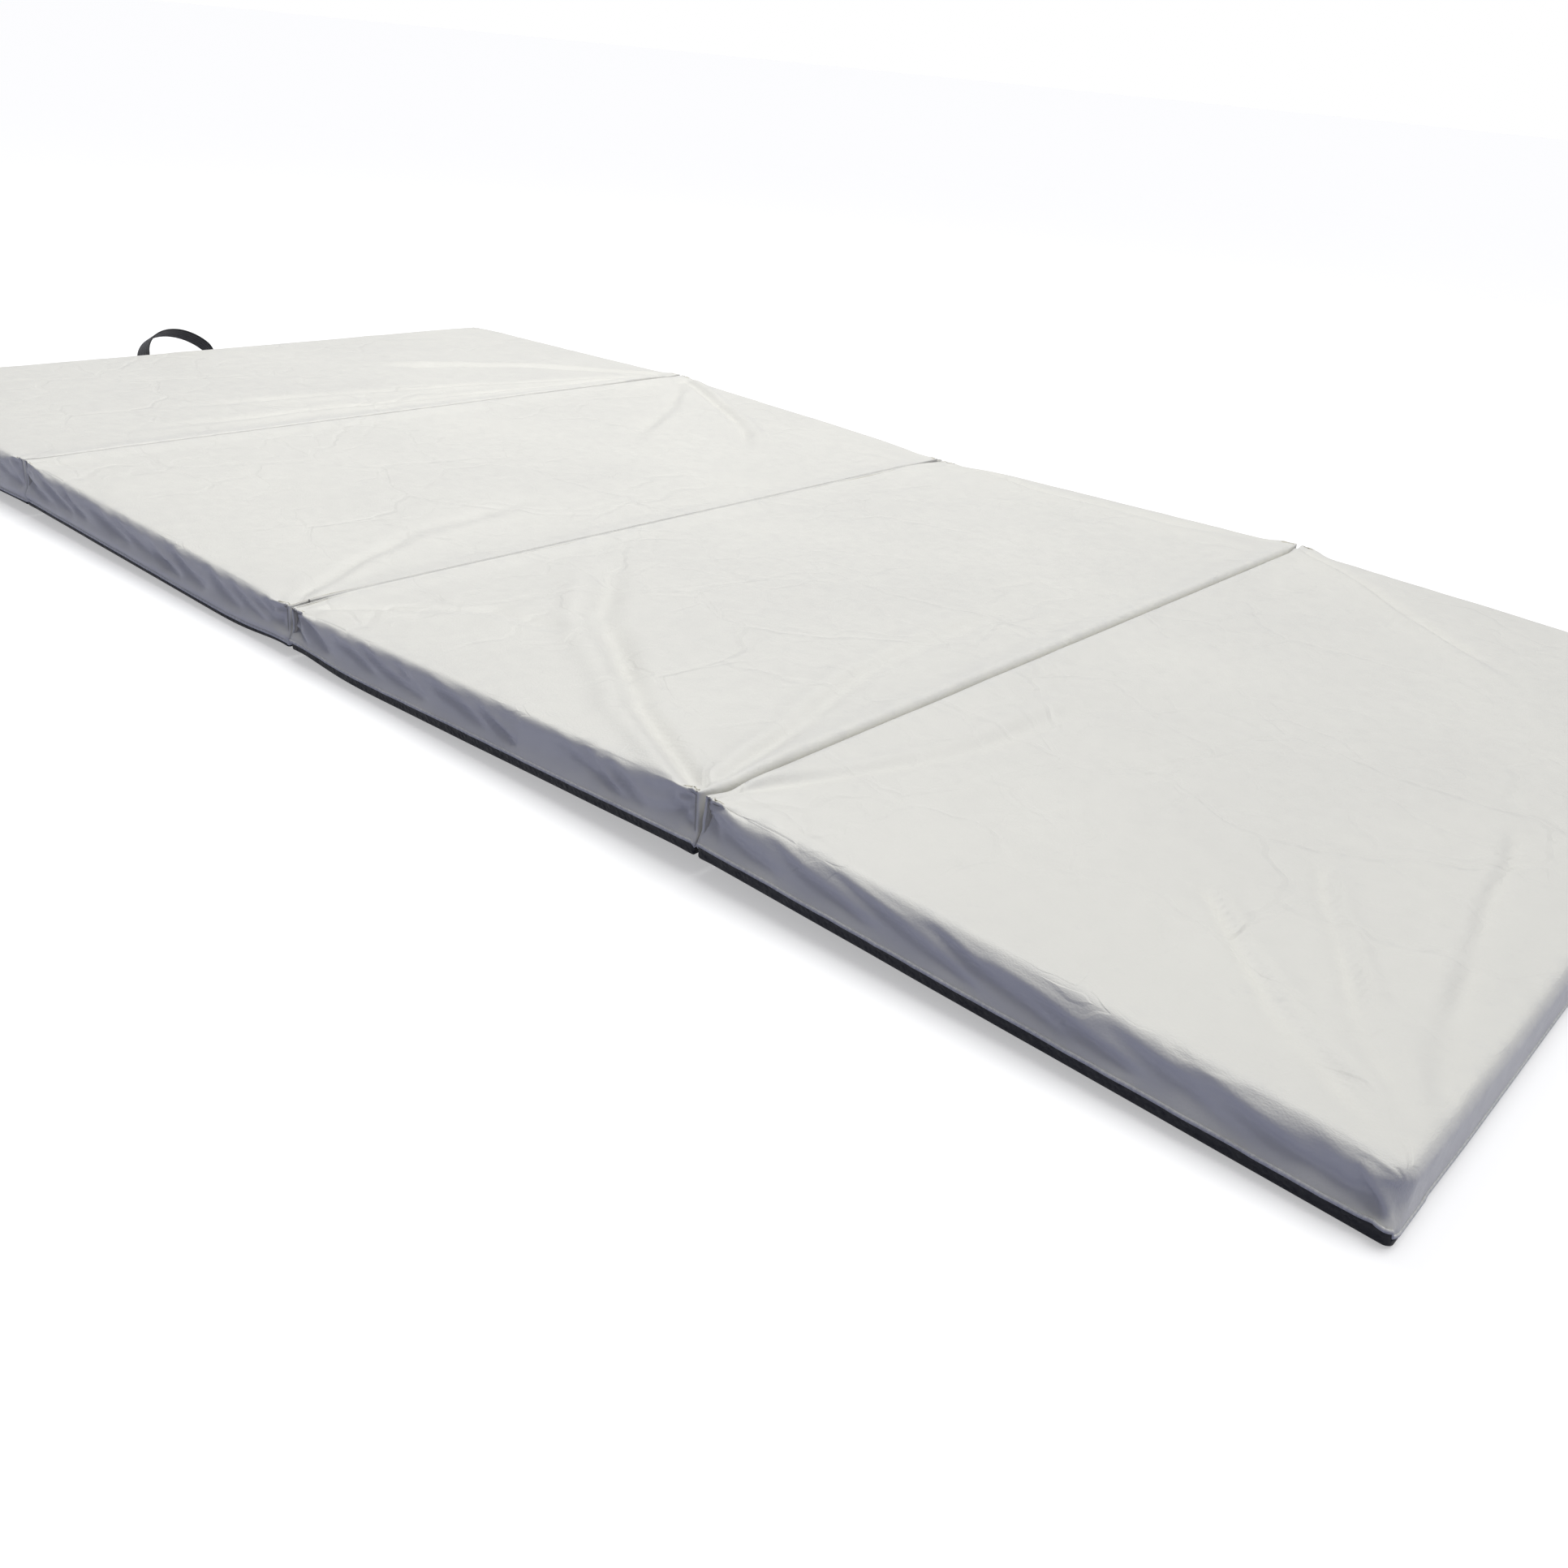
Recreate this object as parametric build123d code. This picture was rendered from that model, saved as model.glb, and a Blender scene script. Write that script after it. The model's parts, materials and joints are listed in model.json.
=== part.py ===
"""A folding gym mat: four foam panels in sewn covers, joined edge to edge by cloth hinges.

Millimetres. +X runs along the unfolded mat, +Y across it and +Z up. The origin is on the floor
under the middle of the mat. Panel 1 is at the -X end and panel 4 at the +X end.

Folds 1 and 3 are hinged at their lower edges and fold base to base. Fold 2 is hinged at its upper
edge and folds top to top. So the mat closes like a concertina, with both handles at one end.

Laid out, the mat keeps a memory of its folds and stands in a shallow zigzag: folds 1 and 3 lift a
little, so they gape at the top, and fold 2 gapes at the base. Every piece is first made in place
in a flat mat, and then moved with its panel.
"""

from build123d import *

import math
import os

# The unfolded mat
PANEL_COUNT = 4
OVERALL_LENGTH = 2000.0
OVERALL_WIDTH = 1000.0
FOAM_THICKNESS = 49.4
FOLD_GAP = 3.0

# Covers
COVER_THICKNESS = 1.0
FOAM_CLEARANCE = 0.3
PLAN_CORNER_RADIUS = 14.0
TOP_EDGE_RADIUS = 9.0
BASE_EDGE_RADIUS = 4.0

# The seam between the top cover and the base cover
SIDE_UPSTAND = 12.0
END_UPSTAND = 5.0
BINDING_HEIGHT = 2.5

# Cloth hinges in the folds
HINGE_CLOTH_THICKNESS = 0.8
HINGE_LEAF_HEIGHT = 14.0
HINGED_AT_TOP = {1: False, 2: True, 3: False}
HINGE_STANDOFF = 0.3
FOLD_LIFT = {1: 12.0, 3: 15.0}

# Webbing handles on the two free ends
WEBBING_WIDTH = 25.0
WEBBING_THICKNESS = 2.0
TAB_LENGTH = 40.0
TAB_CLEARANCE = 0.3
TAB_STANDOFF = 0.1
LOOP_HALF_SPAN = 55.0
LOOP_REACH = 60.0
LOOP_SWING = 60.0
LOOP_END_CLEARANCE = 1.5
HANDLE_OFFSET = -40.0
HANDLE_TILT = {1: 50.0, 4: -7.0}

# What follows from them
SHELL_GAP = COVER_THICKNESS + FOAM_CLEARANCE
OVERALL_THICKNESS = FOAM_THICKNESS + 2 * SHELL_GAP
PANEL_LENGTH = (OVERALL_LENGTH - (PANEL_COUNT - 1) * FOLD_GAP) / PANEL_COUNT
PANEL_PITCH = PANEL_LENGTH + FOLD_GAP
MID_HEIGHT = OVERALL_THICKNESS / 2
PANELS = range(1, PANEL_COUNT + 1)
FOLDS = range(1, PANEL_COUNT)


def panel_centre(panel):
    """The X of a panel's middle."""
    return (panel - (PANEL_COUNT + 1) / 2) * PANEL_PITCH


def fold_centre(fold):
    """The X of the middle of the gap between a panel and the next."""
    return panel_centre(fold) + PANEL_PITCH / 2


def hinged_edges(panel):
    """The edges where a panel is hinged, as (which end along X, whether it is the upper edge)."""
    edges = []
    for facing, fold in ((-1, panel - 1), (1, panel)):
        if fold in HINGED_AT_TOP:
            edges.append((facing, HINGED_AT_TOP[fold]))
    return edges


def panel_block(panel, inset):
    """A whole panel's rounded block, moved in from its outer surface by inset on every side.

    A hinged edge stays square, so that the hinge cloth lies flat against its wall.
    """
    length = PANEL_LENGTH - 2 * inset
    width = OVERALL_WIDTH - 2 * inset
    height = OVERALL_THICKNESS - 2 * inset
    block = extrude(RectangleRounded(length, width, PLAN_CORNER_RADIUS - inset), height)
    block = fillet(block.faces().sort_by(Axis.Z)[-1].edges(), TOP_EDGE_RADIUS - inset)
    block = fillet(block.faces().sort_by(Axis.Z)[0].edges(), BASE_EDGE_RADIUS - inset)
    for facing, is_upper in hinged_edges(panel):
        side = (TOP_EDGE_RADIUS if is_upper else BASE_EDGE_RADIUS) - inset
        corner = Box(side, width - 2 * PLAN_CORNER_RADIUS, side)
        level = height - side / 2 if is_upper else side / 2
        block += Pos(facing * (length - side) / 2, 0, level) * corner
    return Pos(panel_centre(panel), 0, inset) * block


def below_seam(panel, extra):
    """The space under the seam, which is higher on the long sides, raised by extra."""
    flat_half_width = OVERALL_WIDTH / 2 - PLAN_CORNER_RADIUS - extra
    side_depth = PLAN_CORNER_RADIUS + extra + FOLD_GAP
    reach = PANEL_LENGTH + FOLD_GAP
    grounded = (Align.CENTER, Align.CENTER, Align.MIN)
    space = Box(reach, OVERALL_WIDTH + 2 * FOLD_GAP, END_UPSTAND + extra, align=grounded)
    for side in (-1, 1):
        slab = Box(reach, side_depth, SIDE_UPSTAND + extra, align=grounded)
        space += Pos(0, side * (flat_half_width + side_depth / 2), 0) * slab
    return Pos(panel_centre(panel), 0, 0) * space


def foam_core(panel):
    """The block of foam inside a panel's covers."""
    return panel_block(panel, SHELL_GAP)


def cover_shell(panel):
    """The closed skin round a foam core, before the seam divides it."""
    return panel_block(panel, 0) - panel_block(panel, COVER_THICKNESS)


def top_cover(panel):
    """The top sheet and the walls, down to the seam."""
    return cover_shell(panel) - below_seam(panel, BINDING_HEIGHT)


def seam_binding(panel):
    """The narrow band that closes the seam all round the panel."""
    return (cover_shell(panel) & below_seam(panel, BINDING_HEIGHT)) - below_seam(panel, 0)


def base_cover(panel):
    """The non-slip base sheet with its upstand."""
    return cover_shell(panel) & below_seam(panel, 0)


def hinge_strip(fold):
    """A U of cloth in the gap: a web at the hinged edge and a leaf on each panel's wall."""
    half_gap = FOLD_GAP / 2
    length = OVERALL_WIDTH - 2 * PLAN_CORNER_RADIUS
    grounded = (Align.CENTER, Align.CENTER, Align.MIN)
    strip = Box(FOLD_GAP, length, HINGE_LEAF_HEIGHT, align=grounded)
    slot = Box(FOLD_GAP - 2 * HINGE_CLOTH_THICKNESS, length, HINGE_LEAF_HEIGHT, align=grounded)
    strip -= Pos(0, 0, HINGE_CLOTH_THICKNESS) * slot
    if HINGED_AT_TOP[fold]:
        strip = Pos(0, 0, OVERALL_THICKNESS) * Rot(180, 0, 0) * strip
    return Pos(fold_centre(fold), 0, 0) * strip


def end_wall(panel):
    """(the X of a free end's wall, the way that it faces)."""
    facing = -1 if panel == 1 else 1
    return panel_centre(panel) + facing * PANEL_LENGTH / 2, facing


def handle_tabs(panel):
    """The two sewn-down ends of a handle's webbing, flat on the end wall."""
    wall, facing = end_wall(panel)
    tab = Box(WEBBING_THICKNESS, TAB_LENGTH, WEBBING_WIDTH)
    inner_edge = LOOP_HALF_SPAN + WEBBING_THICKNESS / 2 + TAB_CLEARANCE
    tabs = []
    for side in (-1, 1):
        x = wall + facing * (TAB_STANDOFF + WEBBING_THICKNESS / 2)
        y = HANDLE_OFFSET + side * (inner_edge + TAB_LENGTH / 2)
        tabs.append(Pos(x, y, MID_HEIGHT) * tab)
    return Compound(children=tabs)


def handle_loop(panel):
    """The loop of webbing, on edge, narrowed at its ends where it twists as it swings."""
    half = WEBBING_THICKNESS / 2
    arch = Ellipse(LOOP_REACH + half, LOOP_HALF_SPAN + half)
    arch -= Ellipse(LOOP_REACH - half, LOOP_HALF_SPAN - half)
    band = extrude(arch, WEBBING_WIDTH / 2, both=True)

    slope = math.tan(math.radians(90.0 - LOOP_SWING))
    full_width_at = WEBBING_WIDTH / 2 / slope
    far = LOOP_REACH + WEBBING_WIDTH
    upper = [
        (LOOP_END_CLEARANCE, LOOP_END_CLEARANCE * slope),
        (full_width_at, WEBBING_WIDTH / 2),
        (far, WEBBING_WIDTH / 2),
    ]
    lower = [(x, -z) for x, z in reversed(upper)]
    swing_room = extrude(
        Plane.XZ * Polygon(*upper, *lower, align=None),
        LOOP_HALF_SPAN + WEBBING_WIDTH,
        both=True,
    )
    loop = band & swing_room

    wall, facing = end_wall(panel)
    if facing < 0:
        loop = Rot(0, 0, 180) * loop
    tilted = Rot(0, -facing * HANDLE_TILT[panel], 0) * loop
    return Pos(wall + facing * WEBBING_THICKNESS / 2, HANDLE_OFFSET, MID_HEIGHT) * tilted


def hinge_line(fold):
    """The point on a fold's hinge line over the mat's middle, in the flat mat."""
    height = OVERALL_THICKNESS + HINGE_STANDOFF if HINGED_AT_TOP[fold] else -HINGE_STANDOFF
    return Vector(fold_centre(fold), 0, height)


def turned_about(point, degrees):
    """A turn about the line through a point that runs across the mat."""
    return Pos(*point) * Rot(0, degrees, 0) * Pos(*(-point))


def slope(panel):
    """How far a panel dips towards +X, in degrees, between a lifted fold and the floor."""
    rises = panel % 2 == 1
    lifted_fold = panel if rises else panel - 1
    angle = math.degrees(math.asin(FOLD_LIFT[lifted_fold] / PANEL_PITCH))
    return -angle if rises else angle


def laid_out(panel):
    """The move that takes a panel from its place in the flat mat to its place in the zigzag."""
    if panel in (2, 3):
        return turned_about(hinge_line(2), slope(panel))
    inner, fold = (2, 1) if panel == 1 else (3, 3)
    return laid_out(inner) * turned_about(hinge_line(fold), slope(panel) - slope(inner))


def in_fold(fold):
    """The move that takes a hinge strip from the flat mat to midway between its two panels."""
    half_turn = (slope(fold + 1) - slope(fold)) / 2
    return laid_out(fold) * turned_about(hinge_line(fold), half_turn)


def save(node, shape):
    """Write one node, which keeps its place in the shared frame."""
    export_step(shape, f"parts/{node}.step")


os.makedirs("parts", exist_ok=True)

for panel in PANELS:
    save(f"foam_core_{panel}", laid_out(panel) * foam_core(panel))
    save(f"top_cover_{panel}", laid_out(panel) * top_cover(panel))
    save(f"seam_binding_{panel}", laid_out(panel) * seam_binding(panel))
    save(f"base_cover_{panel}", laid_out(panel) * base_cover(panel))

for fold in FOLDS:
    save(f"hinge_strip_{fold}", in_fold(fold) * hinge_strip(fold))

for panel in HANDLE_TILT:
    save(f"handle_tabs_{panel}", laid_out(panel) * handle_tabs(panel))
    save(f"handle_loop_{panel}", laid_out(panel) * handle_loop(panel))
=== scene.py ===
import json
import math

import bpy
import numpy as np
from mathutils import Euler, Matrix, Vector

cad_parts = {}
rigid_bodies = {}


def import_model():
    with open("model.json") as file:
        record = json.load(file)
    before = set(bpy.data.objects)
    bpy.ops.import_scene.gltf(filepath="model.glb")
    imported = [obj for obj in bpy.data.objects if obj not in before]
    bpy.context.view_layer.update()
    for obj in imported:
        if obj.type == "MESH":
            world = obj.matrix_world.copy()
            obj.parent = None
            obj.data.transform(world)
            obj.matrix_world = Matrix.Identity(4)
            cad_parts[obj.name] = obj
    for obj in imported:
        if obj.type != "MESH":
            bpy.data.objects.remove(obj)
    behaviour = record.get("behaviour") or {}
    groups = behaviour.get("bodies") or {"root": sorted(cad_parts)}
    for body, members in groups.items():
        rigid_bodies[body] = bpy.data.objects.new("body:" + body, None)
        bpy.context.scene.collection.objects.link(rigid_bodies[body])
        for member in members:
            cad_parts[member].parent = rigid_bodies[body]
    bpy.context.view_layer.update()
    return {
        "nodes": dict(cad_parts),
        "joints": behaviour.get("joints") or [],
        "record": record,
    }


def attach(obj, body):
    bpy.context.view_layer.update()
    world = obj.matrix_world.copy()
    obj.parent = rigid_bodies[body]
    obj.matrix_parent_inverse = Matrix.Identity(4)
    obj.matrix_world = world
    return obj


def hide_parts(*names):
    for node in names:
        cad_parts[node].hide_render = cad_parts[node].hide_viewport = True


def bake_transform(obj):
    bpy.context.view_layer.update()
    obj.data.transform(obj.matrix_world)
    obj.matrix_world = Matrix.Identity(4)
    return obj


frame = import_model()

# ------------------------------------------------------------------ camera

scene = bpy.context.scene
camera_data = bpy.data.cameras.new("camera")
camera_data.lens = 33.959
camera_data.sensor_width = 36.0
camera = bpy.data.objects.new("camera", camera_data)
camera.location = (1.1077, -1.1673, 0.5258)
camera.rotation_euler = Euler([math.radians(a) for a in (63.46801, -5.05003, 41.12465)])
scene.collection.objects.link(camera)
scene.camera = camera
scene.view_settings.view_transform = "Standard"

# ------------------------------------------------------------------ the panels' own frames, read from the CAD

RECORD = frame["record"]
JOINTS = {j["name"]: j for j in frame["joints"]}
PANELS = (1, 2, 3, 4)


def node_points(*nodes):
    """Every vertex of these CAD nodes, in the row frame."""
    return np.array([v.co for n in nodes for v in frame["nodes"][n].data.vertices], float)


def slopes():
    """How far each panel dips towards +X, from its mount's axis and the folds' rest angles."""
    found = {2: math.asin(-RECORD["mounts"][0]["axis"][0])}
    for fold, known, other in (("fold_1", 2, 1), ("fold_2", 2, 3), ("fold_3", 3, 4)):
        turn = -JOINTS[fold]["axis"][1] * math.radians(JOINTS[fold]["range_deg"][0])
        found[other] = found[known] + turn
    return found


SLOPE = slopes()


class Panel:
    """A panel's frame: s runs along it from its -X end, y across the mat, h up from its underside."""

    def __init__(self, number):
        a = SLOPE[number]
        self.number = number
        self.body = f"panel_{number}"
        self.along = np.array([math.cos(a), 0.0, -math.sin(a)])
        self.up = np.array([math.sin(a), 0.0, math.cos(a)])
        skin = node_points(*(f"{n}_{number}" for n in ("top_cover", "seam_binding", "base_cover")))
        s, h = skin @ self.along, skin @ self.up
        self.origin = s.min() * self.along + h.min() * self.up
        self.length, self.height = np.ptp(s), np.ptp(h)
        self.half_width = np.abs(skin[:, 1]).max()

    def world(self, s, y, h):
        place = self.origin + np.multiply.outer(s, self.along) + np.multiply.outer(h, self.up)
        place[..., 1] += y
        return place


PANEL = {n: Panel(n) for n in PANELS}

# ------------------------------------------------------------------ numbers and noise


def ease(x):
    x = np.clip(x, 0.0, 1.0)
    return x * x * (3.0 - 2.0 * x)


def bump_at(x, centre, width):
    return np.exp(-(((x - centre) / width) ** 2))


def hashed(i, seed):
    """A repeatable number from -1 to 1 for each lattice point."""
    n = i[..., 0] * 374761393 + i[..., 1] * 668265263 + i[..., 2] * 2147483647
    n = (n + seed * 974634777) & 0xFFFFFFFF
    n = ((n ^ (n >> 13)) * 1274126177) & 0xFFFFFFFF
    return ((n ^ (n >> 16)) & 0xFFFF) / 32767.5 - 1.0


def noise(p, size, seed):
    """Smooth value noise from -1 to 1 with features about that size, in metres."""
    q = np.asarray(p, float) / size + 37.0
    i = np.floor(q).astype(np.int64)
    f = q - i
    f = f * f * f * (f * (f * 6 - 15) + 10)
    total = np.zeros(q.shape[:-1])
    for corner in np.ndindex(2, 2, 2):
        weight = np.ones(q.shape[:-1])
        for axis, bit in enumerate(corner):
            weight = weight * (f[..., axis] if bit else 1 - f[..., axis])
        total += weight * hashed(i + np.array(corner), seed)
    return total


def octaves(p, size, seed, count=3):
    return sum(noise(p, size / 2**n, seed + n) / 2**n for n in range(count)) / 1.75


def creased(p, size, seed, sharp=5.0):
    """0 to 1, near 1 only on thin wandering lines, as in creased sheet."""
    return (1.0 - np.abs(octaves(p, size, seed, 2))) ** sharp


def spread(length, fine, coarse, ramp):
    """Row places from 0 to length, fine at both ends and coarse between."""
    x = np.linspace(0.0, length, 4001)
    step = fine + (coarse - fine) * ease(np.minimum(x, length - x) / ramp)
    count = np.concatenate([[0.0], np.cumsum((x[1] - x[0]) * (1 / step[1:] + 1 / step[:-1]) / 2)])
    rows = int(math.ceil(count[-1]))
    return np.interp(np.linspace(0.0, count[-1], rows + 1), count, x)


def line_offset(s, y, points):
    """(signed distance to a polyline, how far along it the nearest point is from 0 to 1)."""
    points = np.asarray(points, float)
    lengths = np.hypot(*np.diff(points, axis=0).T)
    best = np.full(s.shape, 1e9)
    signed = np.zeros(s.shape)
    along = np.zeros(s.shape)
    done = 0.0
    for a, b, length in zip(points[:-1], points[1:], lengths):
        d = (b - a) / length
        t = np.clip((s - a[0]) * d[0] + (y - a[1]) * d[1], 0.0, length)
        ox, oy = s - a[0] - d[0] * t, y - a[1] - d[1] * t
        far = np.hypot(ox, oy)
        side = np.where(d[0] * oy - d[1] * ox >= 0, 1.0, -1.0)
        nearer = far < best
        best = np.where(nearer, far, best)
        signed = np.where(nearer, far * side, signed)
        along = np.where(nearer, (done + t) / lengths.sum(), along)
        done += length
    return signed, along


# ------------------------------------------------------------------ how each panel's cover lies

SEAM_HEIGHT = 0.0126
WALL_HOLLOW = 0.0024
REST_SINK = 0.0046
CREASE_DEPTH = 4.4
NARROWEST_CREASE = 0.0062
COVER_THICKNESS = 0.0010
FOAM_INSET = 0.0024
EDGE_KIND = {1: ("outer", "fold_1"), 2: ("fold_1", "fold_2"), 3: ("fold_2", "fold_3"), 4: ("fold_3", "outer")}
EDGE_ROUND = {"outer": 0.0130, "fold_1": 0.0042, "fold_2": 0.0018, "fold_3": 0.0090}
SIDE_ROUND = {1: 0.0110, 2: 0.0110, 3: 0.0105, 4: 0.0160}
FOLD_CORNER = 0.0024
BASE_ROUND = 0.0030
BASE_SIDE = 0.0050
SEAM_DROP = {1: 0.0070, 2: 0.0052, 3: 0.0006, 4: 0.0}

# Creases on a panel's top: places along them (share of the length, y), valley width, depth, and the
# ridge beside it (positive is to the left of the way that the line runs).
CREASES = {
    1: [
        ([(0.985, 0.485), (0.90, 0.10), (0.85, -0.38)], 0.007, 0.0011, 0.0007),
        ([(0.98, 0.480), (0.80, 0.16), (0.66, -0.28)], 0.008, 0.0009, 0.0006),
        ([(0.975, 0.488), (0.66, 0.34), (0.40, 0.10)], 0.009, 0.0009, -0.0006),
    ],
    2: [
        ([(0.025, 0.492), (0.38, 0.395), (0.75, 0.26)], 0.007, 0.0014, 0.0009),
        ([(0.025, 0.488), (0.26, 0.34), (0.52, 0.12)], 0.009, 0.0009, 0.0006),
        ([(0.98, -0.485), (0.80, -0.30), (0.70, -0.08)], 0.010, 0.0008, -0.0005),
    ],
    3: [
        ([(1.0, -0.496), (0.72, -0.425), (0.38, -0.30), (0.07, -0.15)], 0.013, 0.0020, 0.0013),
        ([(0.02, 0.485), (0.35, 0.458), (0.70, 0.462), (0.97, 0.485)], 0.010, 0.0015, -0.0010),
        ([(0.99, -0.490), (0.86, -0.22), (0.82, 0.10)], 0.010, 0.0009, 0.0006),
        ([(0.02, -0.485), (0.22, -0.37), (0.45, -0.34)], 0.009, 0.0009, -0.0006),
    ],
    4: [
        ([(0.0, 0.490), (0.33, 0.385), (0.67, 0.272)], 0.008, 0.0010, -0.0014),
        ([(0.57, -0.316), (0.80, -0.427), (0.985, -0.492)], 0.008, 0.0013, 0.0008),
        ([(0.66, -0.22), (0.85, -0.38), (0.99, -0.488)], 0.007, 0.0010, 0.0007),
        ([(0.82, -0.05), (0.92, -0.30), (0.992, -0.485)], 0.008, 0.0009, -0.0006),
        ([(0.01, -0.485), (0.14, -0.30), (0.20, -0.05)], 0.009, 0.0009, 0.0006),
    ],
}

# Where the cover is gathered on a long edge: share of the length, side, pull, reach, pleats.
GATHERS = {
    1: [
        (0.0, -1, 0.0020, 0.045, 0.6),
        (1.0, -1, 0.0032, 0.050, 0.9),
        (1.0, 1, 0.0030, 0.045, 0.7),
        (0.0, 1, 0.0030, 0.05, 0.8),
    ],
    2: [
        (0.0, -1, 0.0032, 0.050, 0.9),
        (1.0, -1, 0.0048, 0.060, 1.2),
        (0.0, 1, 0.0030, 0.045, 0.7),
        (1.0, 1, 0.0040, 0.050, 0.8),
    ],
    3: [
        (0.0, -1, 0.0048, 0.060, 1.2),
        (1.0, -1, 0.0040, 0.070, 1.5),
        (0.0, 1, 0.0040, 0.050, 0.8),
        (1.0, 1, 0.0030, 0.045, 0.7),
        (0.764, -1, 0.0014, 0.030, 0.5),
    ],
    4: [
        (0.0, -1, 0.0040, 0.070, 1.5),
        (1.0, -1, 0.0024, 0.050, 0.35),
        (0.0, 1, 0.0030, 0.045, 0.7),
        (1.0, 1, 0.0024, 0.050, 0.4),
        (0.748, -1, 0.0012, 0.030, 0.4),
    ],
}


# Slanting folds in the long walls: mean spacing, and how deep they are.
WALL_FOLDS = {1: (0.042, 0.0034), 2: (0.044, 0.0040), 3: (0.046, 0.0048), 4: (0.070, 0.0046)}


def slanting_folds(panel, which):
    """Folds down a long wall: each a line from near the top edge to near the seam, a width and a depth."""
    rng = np.random.default_rng(10 * panel.number + which)
    spacing, deep = WALL_FOLDS[panel.number]
    found = []
    at = -0.02
    while at < panel.length - 0.03:
        start = at + rng.uniform(-0.3, 0.3) * spacing
        run = rng.uniform(0.035, 0.085) * (1.5 if panel.number == 4 else 1.0)
        run = min(run, max(0.012, panel.length - 0.006 - start))
        top = panel.height * rng.uniform(0.70, 0.86)
        foot = panel.height * rng.uniform(0.30, 0.42)
        bend = (start + 0.45 * run, (top + foot) / 2 + rng.uniform(-0.003, 0.003))
        line = [(start, top), bend, (start + run, foot)]
        found.append((line, rng.uniform(0.0030, 0.0056), deep * rng.uniform(0.5, 1.1)))
        at += spacing * rng.uniform(0.6, 1.5)
    if panel.number == 4 and which < 0:
        top, foot = 0.74 * panel.height, 0.26 * panel.height
        found.append(([(0.940 * panel.length, top), (0.982 * panel.length, foot)], 0.0040, 0.0048))
    return found


def rounded(panel, p):
    """The lattice points p = (s, y, h) moved onto the panel's rounded block, and the way out of it."""
    kinds = EDGE_KIND[panel.number]
    left = p[:, 0] < panel.length / 2
    to_end = np.minimum(p[:, 0], panel.length - p[:, 0])
    end_round = np.where(left, EDGE_ROUND[kinds[0]], EDGE_ROUND[kinds[1]])
    near_end = 1.0 - ease(to_end / 0.045)
    folded = np.where(left, kinds[0] != "outer", kinds[1] != "outer")
    side_round = SIDE_ROUND[panel.number]
    corner = np.where(folded, FOLD_CORNER, side_round)
    side_round = side_round + (corner - side_round) * near_end
    to_side = panel.half_width - np.abs(p[:, 1])
    end_round = end_round + (np.minimum(end_round, corner) - end_round) * (1.0 - ease(to_side / 0.030))
    upright = ease((p[:, 2] - 0.006) / 0.022)
    radius = np.empty_like(p)
    radius[:, 0] = np.minimum(end_round, BASE_SIDE + (end_round - BASE_SIDE) * upright)
    radius[:, 1] = np.minimum(side_round, BASE_SIDE + (side_round - BASE_SIDE) * upright)
    top_round = side_round + (end_round - side_round) * near_end
    radius[:, 2] = np.where(p[:, 2] > panel.height / 2, top_round, BASE_ROUND)
    low = np.array([0.0, -panel.half_width, 0.0])
    high = np.array([panel.length, panel.half_width, panel.height])
    core = np.clip(p, low + radius, high - radius)
    off = (p - core) / radius
    off *= (np.abs(off).max(1) / np.sqrt((off**2).sum(1)))[:, None]
    out = off / radius
    return core + off * radius, out / np.sqrt((out**2).sum(1))[:, None]


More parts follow.
